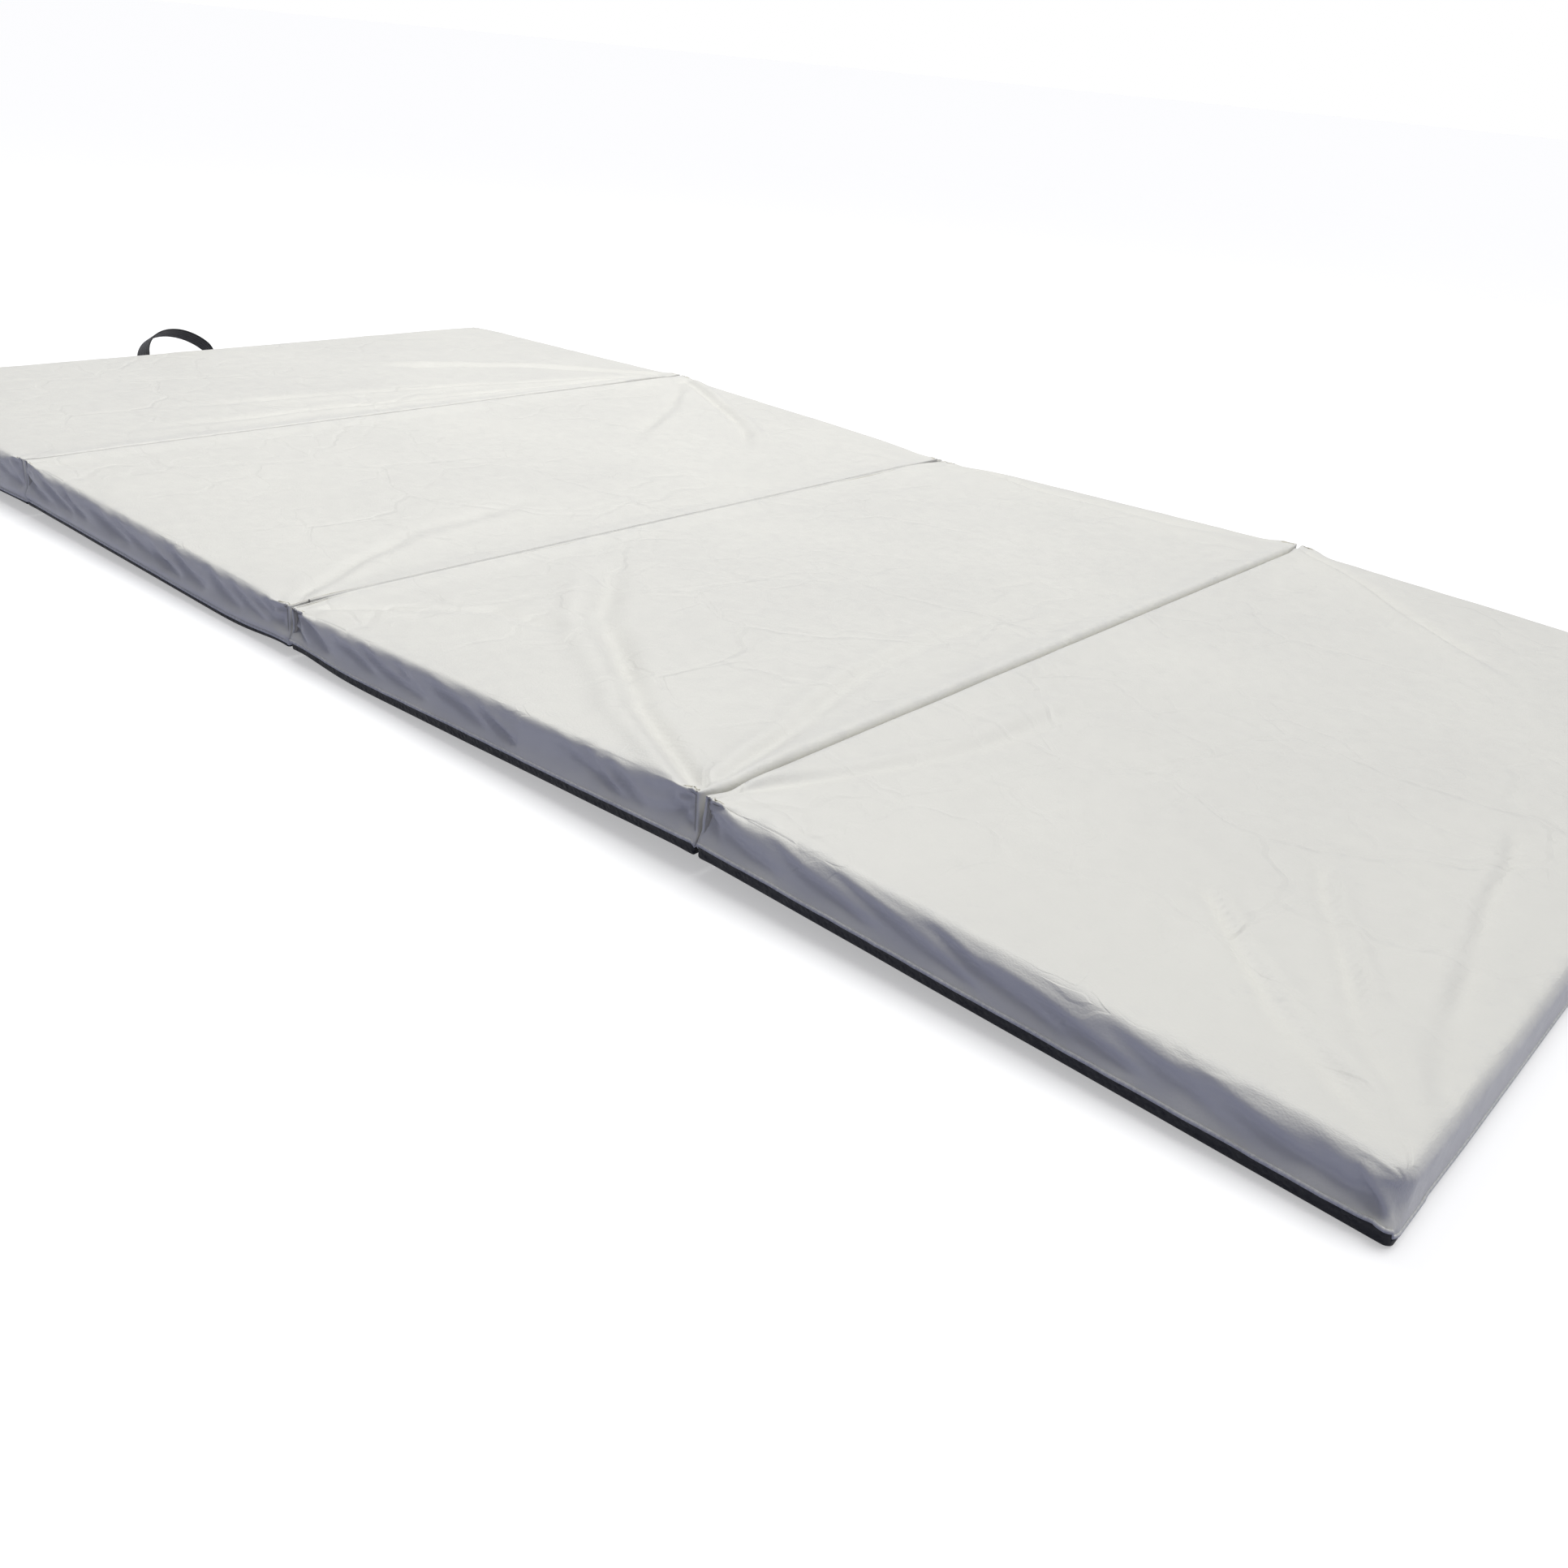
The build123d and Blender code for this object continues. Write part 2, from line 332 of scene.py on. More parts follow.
def lie_of_cover(panel, p):
    """Where the cover's points p end up: the rounded block, then fullness, creases, gathers and wrinkles."""
    length, height, half = panel.length, panel.height, panel.half_width
    seed = 100 * panel.number
    q, out = rounded(panel, p)
    s, y, h = q.T
    top = np.clip(out[:, 2], 0.0, 1.0) ** 1.5
    side = np.abs(out[:, 1])
    kinds = EDGE_KIND[panel.number]
    free = np.where(s < length / 2, kinds[0] == "outer", kinds[1] == "outer")
    end = np.abs(out[:, 0])
    wide = q * np.array([1.0, 1.0, 1.6])

    # The seam sits lower on some panels and at the ends.
    level = p[:, 2]
    hat = np.where(level < SEAM_HEIGHT, level / SEAM_HEIGHT, (height - level) / (height - SEAM_HEIGHT))
    drop = SEAM_DROP[panel.number] + 0.004 * (end > 0.7) + 0.0004 * noise(wide, 0.11, seed + 3)
    q[:, 2] -= np.clip(drop, 0.0, 0.0085) * hat**1.4

    # Foam lies flat on top, a little below the full height, in broad soft waves.
    sink = REST_SINK + 0.0012 * octaves(wide, 0.26, seed + 11) + 0.0005 * octaves(wide, 0.07, seed + 17)
    to_fold = np.where(free, 1.0, np.minimum(s, length - s))
    sink *= 0.45 + 0.55 * ease(to_fold / 0.030)
    over = np.zeros_like(s)
    for points, width, depth, ridge in CREASES[panel.number]:
        line = [(f * length, c) for f, c in points]
        wander = 0.005 * noise(wide, 0.09, seed + 23)
        off, t = line_offset(s + wander, y + wander, line)
        fade = ease(t / 0.05) * (1.0 - ease((t - 0.72) / 0.28)) * (0.75 + 0.35 * noise(wide, 0.05, seed + 29))
        grown = np.maximum(width * (0.55 + 0.9 * t), NARROWEST_CREASE)
        over -= CREASE_DEPTH * depth * fade * np.exp(-((off / grown) ** 2))
        from_ridge = off - math.copysign(1.7, ridge) * grown
        over += CREASE_DEPTH * abs(ridge) * fade * np.exp(-((from_ridge / (1.3 * grown)) ** 2))
    over += 0.00045 * creased(wide * [1.0, 0.55, 1.0], 0.060, seed + 31) - 0.0002
    over += 0.00055 * creased(wide * [0.6, 1.0, 1.0], 0.115, seed + 37, 7.0)
    move = top * (over - sink)

    # Long walls hang in from the top edge and out again to the seam, in slanting folds.
    rise = np.clip((h - SEAM_HEIGHT) / (height - SEAM_HEIGHT), 0.0, 1.0)
    belly = np.sin(math.pi * rise) ** 0.9
    wall = -WALL_HOLLOW * belly * (0.9 + 0.5 * noise(wide, 0.15, seed + 47))
    wall += 0.0013 * bump_at(h, SEAM_HEIGHT, 0.006)
    for which in (-1, 1):
        here = side * (which * y > 0)
        for line, width, depth in slanting_folds(panel, which):
            off, t = line_offset(s + 0.002 * noise(wide, 0.03, seed + 43), h, line)
            fade = np.sin(math.pi * np.clip(t, 0.0, 1.0)) ** 0.5
            dip = np.exp(-((off / width) ** 2))
            lip = np.exp(-(((off - 1.5 * width) / (1.1 * width)) ** 2))
            wall += here * fade * depth * (0.55 * lip - dip)
    wall += 0.0007 * (creased(wide * [1.0, 1.0, 0.6], 0.030, seed + 41, 3.0) - 0.4)
    move += side * np.clip(belly * 1.6 + bump_at(h, SEAM_HEIGHT, 0.006), 0.0, 1.0) * wall
    loose = np.where(free, 1.0, 0.0)
    move += end * belly * loose * (-0.0010 + 0.0010 * noise(wide, 0.09, seed + 53))
    at_ends = np.exp(-(((half - np.abs(y)) / 0.018) ** 2))
    kind = np.where(s < length / 2, kinds[0], kinds[1])
    above_leaf = np.where(kind == "fold_2", 0.0, ease((h - 0.0155) / 0.008))
    fill = 0.00142 * (1.0 - loose) * end * np.maximum(above_leaf, at_ends * ease((h - 0.004) / 0.012))

    # Gathers: the cover is pulled in at a point on a long edge, and pleats run out from it.
    place = np.clip(side, 0.0, 1.0)
    for share, which, pull, reach, pleats in GATHERS[panel.number]:
        ds = s - share * length
        inward = half - which * y
        unrolled = inward - (height - h)
        hollow = np.hypot(ds, unrolled + 0.010)
        near = np.exp(-((hollow / reach) ** 2)) * (inward < 0.2)
        angle = np.arctan2(unrolled + 0.010, np.abs(ds) + 1e-6)
        fan = np.cos(angle * 9.0 + 2.2 * noise(wide, 0.03, seed + 59) + share * 3.0)
        spread_out = ease(hollow / 0.012) * np.exp(-hollow / (0.75 * reach)) * (inward < 0.2)
        high_up = np.where(unrolled < 0.0, ease((h - SEAM_HEIGHT) / 0.014), 1.0)
        near, spread_out = near * high_up, spread_out * high_up
        move -= pull * near * np.exp(-((ds / (0.35 * reach)) ** 2)) * (0.35 + 0.65 * place)
        move += 0.0014 * pleats * fan * spread_out * np.where(unrolled < 0.0, 1.0, 0.55)

    # The underside is flat, faintly puckered upwards.
    below = np.clip(-out[:, 2], 0.0, 1.0) ** 2
    move -= below * (0.0003 + 0.0003 * noise(wide, 0.05, seed + 61))
    q += out * move[:, None]

    if panel.number in (2, 3):
        to_fold = length - q[:, 0] if panel.number == 2 else q[:, 0]
        corner = np.exp(-((to_fold / 0.060) ** 2))
        near_side = np.exp(-(((q[:, 1] + half) / 0.030) ** 2))
        q[:, 2] += 0.0085 * corner * near_side * (1 - q[:, 2] / height)
        far_side = np.exp(-(((q[:, 1] - half) / 0.050) ** 2))
        q[:, 2] -= 0.0045 * corner * (far_side + 0.6 * near_side) * (q[:, 2] / height) ** 2
        q[:, 1] -= 0.0030 * corner * far_side

    inner = 0.0002
    if kinds[0] != "outer":
        q[:, 0] = np.maximum(q[:, 0], inner) - fill * (p[:, 0] < length / 2)
    if kinds[1] != "outer":
        q[:, 0] = np.minimum(q[:, 0], length - inner) + fill * (p[:, 0] > length / 2)
    q[:, 2] = np.clip(q[:, 2], 0.0, height - 0.0002)
    return q


# ------------------------------------------------------------------ mesh building


def new_mesh(name, points, faces, uvs=None, smooth=True):
    mesh = bpy.data.meshes.new(name)
    corners = [tuple(p) for p in np.asarray(points, float)]
    mesh.from_pydata(corners, [], [tuple(int(i) for i in f) for f in faces])
    mesh.validate()
    if smooth:
        mesh.polygons.foreach_set("use_smooth", [True] * len(mesh.polygons))
    if uvs is not None:
        layer = mesh.uv_layers.new(name="cloth")
        at = np.empty(len(mesh.loops), np.int64)
        mesh.loops.foreach_get("vertex_index", at)
        layer.data.foreach_set("uv", np.asarray(uvs, np.float32)[at].ravel())
    mesh.update()
    made = bpy.data.objects.new(name, mesh)
    scene.collection.objects.link(made)
    return made


def add_values(obj, name, values, kind="FLOAT"):
    attribute = obj.data.attributes.new(name, kind, "POINT")
    field = "value" if kind == "FLOAT" else "vector"
    attribute.data.foreach_set(field, np.asarray(values, np.float32).ravel())


def grid_faces(ids):
    a, b, c, d = ids[:-1, :-1], ids[1:, :-1], ids[1:, 1:], ids[:-1, 1:]
    return np.stack([a, b, c, d], -1).reshape(-1, 4)


def thicken(obj, thickness):
    m = obj.modifiers.new("thickness", "SOLIDIFY")
    m.thickness = thickness
    m.offset = -1.0
    m.use_rim = True
    return m


class Skin:
    """A panel's whole cover as one lattice, cut at the seam into the top cover and the base cover."""

    def __init__(self, panel, inset=0.0):
        self.panel = panel
        s = spread(panel.length, 0.0019, 0.0052, 0.060)
        y = spread(2 * panel.half_width, 0.0019, 0.0056, 0.060) - panel.half_width
        lower = spread(SEAM_HEIGHT, 0.0012, 0.0022, 0.004)
        upper = SEAM_HEIGHT + spread(panel.height - SEAM_HEIGHT, 0.0014, 0.0024, 0.012)
        h = np.concatenate([lower, upper[1:]])
        self.seam_row = len(lower) - 1
        ns, ny, nh = len(s), len(y), len(h)
        on_skin = np.zeros((ns, ny, nh), bool)
        on_skin[[0, -1], :, :] = on_skin[:, [0, -1], :] = on_skin[:, :, [0, -1]] = True
        self.ids = np.full((ns, ny, nh), -1, np.int64)
        self.ids[on_skin] = np.arange(on_skin.sum())
        where = np.argwhere(on_skin)
        self.flat = np.stack([s[where[:, 0]], y[where[:, 1]], h[where[:, 2]]], 1)
        self.lain = lie_of_cover(panel, self.flat)
        if inset:
            self.lain -= inset * rounded(panel, self.flat)[1]
        self.points = panel.world(*self.lain.T)

    def faces(self, low, high, lid):
        """Wall faces from row low to row high, with the lid at the top (1) or the base (0)."""
        i = self.ids
        rows = slice(low, high + 1)
        lid_ids = i[:, :, -1] if lid else i[:, :, 0]
        lid_faces = grid_faces(lid_ids)
        parts = [
            lid_faces if lid else lid_faces[:, ::-1],
            grid_faces(i[:, 0, rows]),
            grid_faces(i[:, -1, rows])[:, ::-1],
            grid_faces(i[0, :, rows])[:, ::-1],
            grid_faces(i[-1, :, rows]),
        ]
        return np.concatenate(parts)

    def piece(self, name, faces):
        used, packed = np.unique(faces, return_inverse=True)
        made = new_mesh(name, self.points[used], packed.reshape(-1, 4))
        add_values(made, "place", self.flat[used], "FLOAT_VECTOR")
        add_values(made, "wear", self.worn(self.flat[used]))
        return made

    def worn(self, p):
        """1 on the block's outer edges, fading to 0 over about a centimetre."""
        panel = self.panel
        near = np.sort(np.stack([
            np.minimum(p[:, 0], panel.length - p[:, 0]),
            panel.half_width - np.abs(p[:, 1]),
            panel.height - p[:, 2],
        ], 1), axis=1)
        return np.exp(-near[:, 1] / 0.012)

    def ring(self, row):
        """The skin's points at that row, in order round the panel."""
        i = self.ids[:, :, row]
        return np.concatenate([i[:-1, 0], i[-1, :-1], i[:0:-1, -1], i[0, :0:-1]])


def ring_tube(name, centre, outward, upward, half_out, half_up, sides=10):
    """A closed tube round a loop of points, oval, with UVs in metres along and round it."""
    n = len(centre)
    turn = np.linspace(0, 2 * math.pi, sides, endpoint=False)
    rings = (centre[:, None, :] + np.cos(turn)[None, :, None] * half_out * outward[:, None, :]
             + np.sin(turn)[None, :, None] * half_up * upward[:, None, :])
    ids = np.arange(n * sides).reshape(n, sides)
    around = np.concatenate([ids, ids[:1]])
    around = np.concatenate([around, around[:, :1]], 1)
    step = np.sqrt(((np.roll(centre, -1, 0) - centre) ** 2).sum(1))
    along = np.concatenate([[0.0], np.cumsum(step)[:-1]])
    uv = np.stack(np.broadcast_arrays(along[:, None], (turn * half_up)[None, :]), -1).reshape(-1, 2)
    return new_mesh(name, rings.reshape(-1, 3), grid_faces(around)[:, ::-1], uv)


# Rings of a stitch: share of its length, share of its radius, how far it bows out in radii.
THREAD_ROWS = (
    (0.0, 0.35, -0.25),
    (0.18, 0.95, 0.35),
    (0.5, 1.0, 0.6),
    (0.82, 0.95, 0.35),
    (1.0, 0.35, -0.25),
)


def stitches(name, starts, ends, lifts, radius):
    """Separate short threads, each a small bowed six-sided thread from start to end."""
    points, faces = [], []
    for a, b, lift in zip(starts, ends, lifts):
        axis = (b - a) / np.linalg.norm(b - a)
        across = np.cross(axis, lift)
        base = len(points)
        for t, fat, rise in THREAD_ROWS:
            mid = a + (b - a) * t + lift * radius * rise
            for k in range(6):
                c, d = math.cos(k * math.pi / 3), math.sin(k * math.pi / 3)
                points.append(mid + radius * fat * (c * across + d * lift))
        for r in range(4):
            for k in range(6):
                one, two = base + 6 * r + k, base + 6 * r + (k + 1) % 6
                faces.append((one, two, two + 6, one + 6))
        faces.append(tuple(base + k for k in range(5, -1, -1)))
        faces.append(tuple(base + 24 + k for k in range(6)))
    mesh = bpy.data.meshes.new(name)
    mesh.from_pydata([tuple(p) for p in points], [], faces)
    mesh.polygons.foreach_set("use_smooth", [True] * len(mesh.polygons))
    made = bpy.data.objects.new(name, mesh)
    scene.collection.objects.link(made)
    return made


# ------------------------------------------------------------------ materials


class Surface:
    """A node material with a Principled shader and small helpers to wire it."""

    def __init__(self, name, **fixed):
        self.material = bpy.data.materials.new(name)
        self.material.use_nodes = True
        self.tree = self.material.node_tree
        self.shader = self.tree.nodes["Principled BSDF"]
        for socket, value in fixed.items():
            self.shader.inputs[socket.replace("_", " ")].default_value = value

    def node(self, kind, inputs=(), **settings):
        n = self.tree.nodes.new(kind)
        for key, value in settings.items():
            setattr(n, key, value)
        for socket, value in dict(inputs).items():
            if isinstance(value, bpy.types.NodeSocket):
                self.tree.links.new(value, n.inputs[socket])
            else:
                n.inputs[socket].default_value = value
        return n

    def place(self):
        """Metres on the uncreased panel, so a pattern stays on the cloth in every pose."""
        return self.node("ShaderNodeAttribute", attribute_name="place").outputs["Vector"]

    def cloth(self):
        return self.node("ShaderNodeUVMap", uv_map="cloth").outputs["UV"]

    def noise(self, where, scale, detail=3.0, roughness=0.5):
        sockets = {"Vector": where, "Scale": scale, "Detail": detail, "Roughness": roughness}
        return self.node("ShaderNodeTexNoise", sockets).outputs["Fac"]

    def cells(self, where, scale, feature="F1"):
        made = self.node("ShaderNodeTexVoronoi", {"Vector": where, "Scale": scale}, feature=feature)
        return made.outputs["Distance"]

    def math(self, kind, a, b=0.0, c=0.0):
        return self.node("ShaderNodeMath", {0: a, 1: b, 2: c}, operation=kind).outputs[0]

    def between(self, value, low, high, to_low, to_high):
        sockets = {"Value": value, "From Min": low, "From Max": high, "To Min": to_low, "To Max": to_high}
        return self.node("ShaderNodeMapRange", sockets).outputs["Result"]

    def mix(self, share, one, two):
        made = self.node("ShaderNodeMix", data_type="RGBA")
        for socket, value in ((0, share), (6, one), (7, two)):
            if isinstance(value, bpy.types.NodeSocket):
                self.tree.links.new(value, made.inputs[socket])
            else:
                made.inputs[socket].default_value = value if socket == 0 else (*value, 1.0)
        return made.outputs[2]

    def bump(self, height, distance, strength=1.0, under=None):
        inputs = {"Height": height, "Distance": distance, "Strength": strength}
        if under is not None:
            inputs["Normal"] = under
        return self.node("ShaderNodeBump", inputs).outputs["Normal"]

    def set(self, socket, value):
        self.tree.links.new(value, self.shader.inputs[socket])


def cover_vinyl():
    m = Surface("cover_vinyl", Specular_IOR_Level=0.42)
    at = m.place()
    cloud = m.noise(at, 5.0, 4.0, 0.55)
    scuff = m.between(m.noise(at, 38.0, 6.0, 0.7), 0.60, 0.78, 0.0, 1.0)
    wear = m.node("ShaderNodeAttribute", attribute_name="wear").outputs["Fac"]
    rubbed = m.math("MULTIPLY", wear, m.between(m.noise(at, 60.0, 5.0, 0.65), 0.42, 0.72, 0.0, 1.0))
    base = m.mix(m.between(cloud, 0.32, 0.68, 0.0, 1.0), (0.765, 0.758, 0.702), (0.735, 0.728, 0.678))
    base = m.mix(m.math("MULTIPLY", scuff, 0.30), base, (0.60, 0.60, 0.585))
    base = m.mix(m.math("MULTIPLY", rubbed, 0.38), base, (0.56, 0.565, 0.57))
    m.set("Base Color", base)
    dull = m.between(m.noise(at, 90.0, 4.0), 0.3, 0.7, 0.40, 0.54)
    m.set("Roughness", m.math("ADD", dull, m.math("MULTIPLY", rubbed, 0.14)))
    pores = m.bump(m.cells(at, 620.0, "SMOOTH_F1"), 0.00022, 0.55)
    leather = m.bump(m.noise(at, 210.0, 4.0, 0.6), 0.00035, 0.45, pores)
    soft = m.bump(m.noise(at, 32.0, 3.0, 0.5), 0.0016, 0.30, leather)
    drift = m.node("ShaderNodeTexNoise", {"Vector": at, "Scale": 9.0, "Detail": 3.0}).outputs["Color"]
    warp = m.node("ShaderNodeVectorMath", {0: drift, "Scale": 0.09}, operation="SCALE").outputs[0]
    bent = m.node("ShaderNodeVectorMath", {0: at, 1: warp}, operation="ADD").outputs[0]
    for scale, width, deep, patch in ((6.5, 0.035, 0.0011, 4.0), (15.0, 0.060, 0.0006, 7.0)):
        line = m.between(m.cells(bent, scale, "DISTANCE_TO_EDGE"), 0.0, width, 0.0, 1.0)
        shown = m.between(m.noise(at, patch, 2.0), 0.50, 0.66, 1.0, 0.0)
        soft = m.bump(m.math("MAXIMUM", line, shown), deep, 0.7, soft)
    m.set("Normal", soft)
    return m.material


def base_vinyl():
    m = Surface("base_vinyl", Specular_IOR_Level=0.22)
    at = m.place()
    dots = m.cells(at, 230.0)
    tone = m.between(m.noise(at, 9.0, 4.0), 0.3, 0.7, 0.0, 1.0)
    base = m.mix(tone, (0.0080, 0.0092, 0.0150), (0.0140, 0.0155, 0.0230))
    dust = m.between(m.noise(at, 70.0, 6.0, 0.7), 0.58, 0.80, 0.0, 0.22)
    m.set("Base Color", m.mix(dust, base, (0.10, 0.10, 0.105)))
    m.set("Roughness", m.between(m.noise(at, 140.0, 3.0), 0.3, 0.7, 0.50, 0.68))
    grip = m.bump(m.between(dots, 0.15, 0.55, 1.0, 0.0), 0.0007, 0.8)
    m.set("Normal", m.bump(m.noise(at, 420.0, 3.0), 0.0002, 0.5, grip))
    return m.material


def threads(m, uv, pitch_u, pitch_v):
    """A plain weave's height from 0 to 1, and its UVs in metres as separate parts."""
    parts = m.node("ShaderNodeSeparateXYZ", {"Vector": uv})
    waves = []
    for socket, pitch in (("X", pitch_u), ("Y", pitch_v)):
        waves.append(m.math("SINE", m.math("MULTIPLY", parts.outputs[socket], 2 * math.pi / pitch)))
    over = m.math("MULTIPLY", waves[0], waves[1])
    return m.between(over, -1.0, 1.0, 0.0, 1.0), parts


def binding_tape():
    m = Surface("binding_tape", Specular_IOR_Level=0.4)
    uv = m.cloth()
    weave, parts = threads(m, uv, 0.0011, 0.0009)
    dash = m.math("SINE", m.math("MULTIPLY", parts.outputs["X"], 2 * math.pi / 0.0052))
    stitch = m.between(dash, 0.0, 0.45, 0.0, 1.0)
    tone = m.noise(m.node("ShaderNodeTexCoord").outputs["Object"], 60.0, 4.0)
    base = m.mix(m.between(tone, 0.3, 0.7, 0.0, 1.0), (0.70, 0.70, 0.68), (0.60, 0.605, 0.60))
    m.set("Base Color", m.mix(m.math("MULTIPLY", stitch, 0.35), base, (0.83, 0.82, 0.79)))
    m.set("Roughness", m.between(weave, 0.0, 1.0, 0.62, 0.78))
    fine = m.bump(weave, 0.00012, 0.7)
    m.set("Normal", m.bump(stitch, 0.0004, 0.6, fine))
    return m.material


def webbing():
    m = Surface("webbing", Specular_IOR_Level=0.35, Sheen_Weight=0.25, Sheen_Roughness=0.5)
    uv = m.cloth()
    weave, parts = threads(m, uv, 0.0030, 0.0024)
    ribs = m.math("SINE", m.math("MULTIPLY", parts.outputs["Y"], 2 * math.pi / 0.0048))
    tone = m.noise(m.node("ShaderNodeTexCoord").outputs["Object"], 90.0, 5.0)
    base = m.mix(weave, (0.0045, 0.0045, 0.0052), (0.017, 0.0168, 0.018))
    m.set("Base Color", m.mix(m.between(tone, 0.45, 0.75, 0.0, 0.35), base, (0.035, 0.034, 0.036)))
    m.set("Roughness", m.between(weave, 0.0, 1.0, 0.85, 0.60))
    deep = m.bump(m.between(ribs, -1.0, 1.0, 0.0, 1.0), 0.0004, 0.5)
    m.set("Normal", m.bump(weave, 0.0006, 0.9, deep))
    return m.material


def thread():
    m = Surface("stitch_thread", Specular_IOR_Level=0.45)
    at = m.node("ShaderNodeTexCoord").outputs["Object"]
    m.set("Base Color", m.mix(m.noise(at, 900.0, 2.0), (0.030, 0.030, 0.033), (0.055, 0.055, 0.060)))
    m.set("Roughness", m.between(m.noise(at, 1500.0, 2.0), 0.3, 0.7, 0.45, 0.6))
    m.set("Normal", m.bump(m.noise(at, 2600.0, 2.0), 0.0001, 0.6))
    return m.material


def hinge_cloth():
    m = Surface("hinge_cloth", Specular_IOR_Level=0.3)
    uv = m.cloth()
    weave, _ = threads(m, uv, 0.0016, 0.0016)
    tone = m.noise(uv, 24.0, 4.0)
    base = m.mix(m.between(tone, 0.3, 0.7, 0.0, 1.0), (0.66, 0.655, 0.62), (0.58, 0.575, 0.545))
    m.set("Base Color", m.mix(m.math("MULTIPLY", weave, 0.3), base, (0.70, 0.695, 0.66)))
    m.set("Roughness", m.between(weave, 0.0, 1.0, 0.72, 0.88))
    m.set("Normal", m.bump(weave, 0.0003, 0.8))
    return m.material


def foam():
    m = Surface("foam", Specular_IOR_Level=0.2)
    at = m.node("ShaderNodeTexCoord").outputs["Object"]
    cells = m.cells(at, 700.0)
    m.set("Base Color", m.mix(m.noise(at, 14.0, 4.0), (0.62, 0.60, 0.50), (0.50, 0.48, 0.40)))
    m.set("Roughness", m.between(cells, 0.0, 0.6, 0.95, 0.80))
    m.set("Normal", m.bump(cells, 0.0005, 0.7))
    return m.material


MATERIALS = {
    "cover_vinyl": cover_vinyl(),
    "base_vinyl": base_vinyl(),
    "binding_tape": binding_tape(),
    "webbing": webbing(),
    "thread": thread(),
    "hinge_cloth": hinge_cloth(),
    "foam": foam(),
}


def finish_piece(obj, look, slot_name, *nodes):
    obj.data.materials.clear()
    obj.data.materials.append(MATERIALS[look])
    if nodes:
        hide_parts(*nodes)
    return obj


# ------------------------------------------------------------------ panels

for number in PANELS:
    panel = PANEL[number]
    skin = Skin(panel)
    rows = skin.ids.shape[2] - 1

    cover = skin.piece(f"padded_cover_{number}", skin.faces(skin.seam_row, rows, 1))
    thicken(cover, COVER_THICKNESS)
    finish_piece(cover, "cover_vinyl", "cover_vinyl", f"top_cover_{number}")
    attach(cover, panel.body)

    under = skin.piece(f"grip_base_{number}", skin.faces(0, skin.seam_row, 0))
    thicken(under, COVER_THICKNESS)
    finish_piece(under, "base_vinyl", "base_vinyl", f"base_cover_{number}")
    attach(under, panel.body)

    ring = skin.ring(skin.seam_row)
    centre = skin.points[ring]
    ahead = np.roll(centre, -2, 0) - np.roll(centre, 2, 0)
    outward = np.cross(ahead, panel.up)
    outward /= np.linalg.norm(outward, axis=1)[:, None]
    upward = np.broadcast_to(panel.up, centre.shape)
    facing = np.abs(outward @ panel.along)
    at_fold = (facing > 0.7) & np.array([
        EDGE_KIND[number][0 if s < panel.length / 2 else 1] != "outer" for s in skin.lain[ring][:, 0]
    ])
    proud = np.where(at_fold, -0.0007, 0.0003)
    middle = centre + outward * proud[:, None]
    welt = ring_tube(f"seam_welt_{number}", middle, outward, upward, 0.0010, 0.0014)
    finish_piece(welt, "binding_tape", "binding_tape", f"seam_binding_{number}")
    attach(welt, panel.body)

    block = Skin(panel, inset=FOAM_INSET)
    core = block.piece(f"foam_block_{number}", np.concatenate([
        block.faces(block.seam_row, block.ids.shape[2] - 1, 1), block.faces(0, block.seam_row, 0)
    ]))
    finish_piece(core, "foam", "foam", f"foam_core_{number}")
    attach(core, panel.body)

# ------------------------------------------------------------------ cloth hinges


HINGE_THICKNESS = 0.0007
HINGE_BEND = 0.0012
HINGE_SLACK = 0.0001


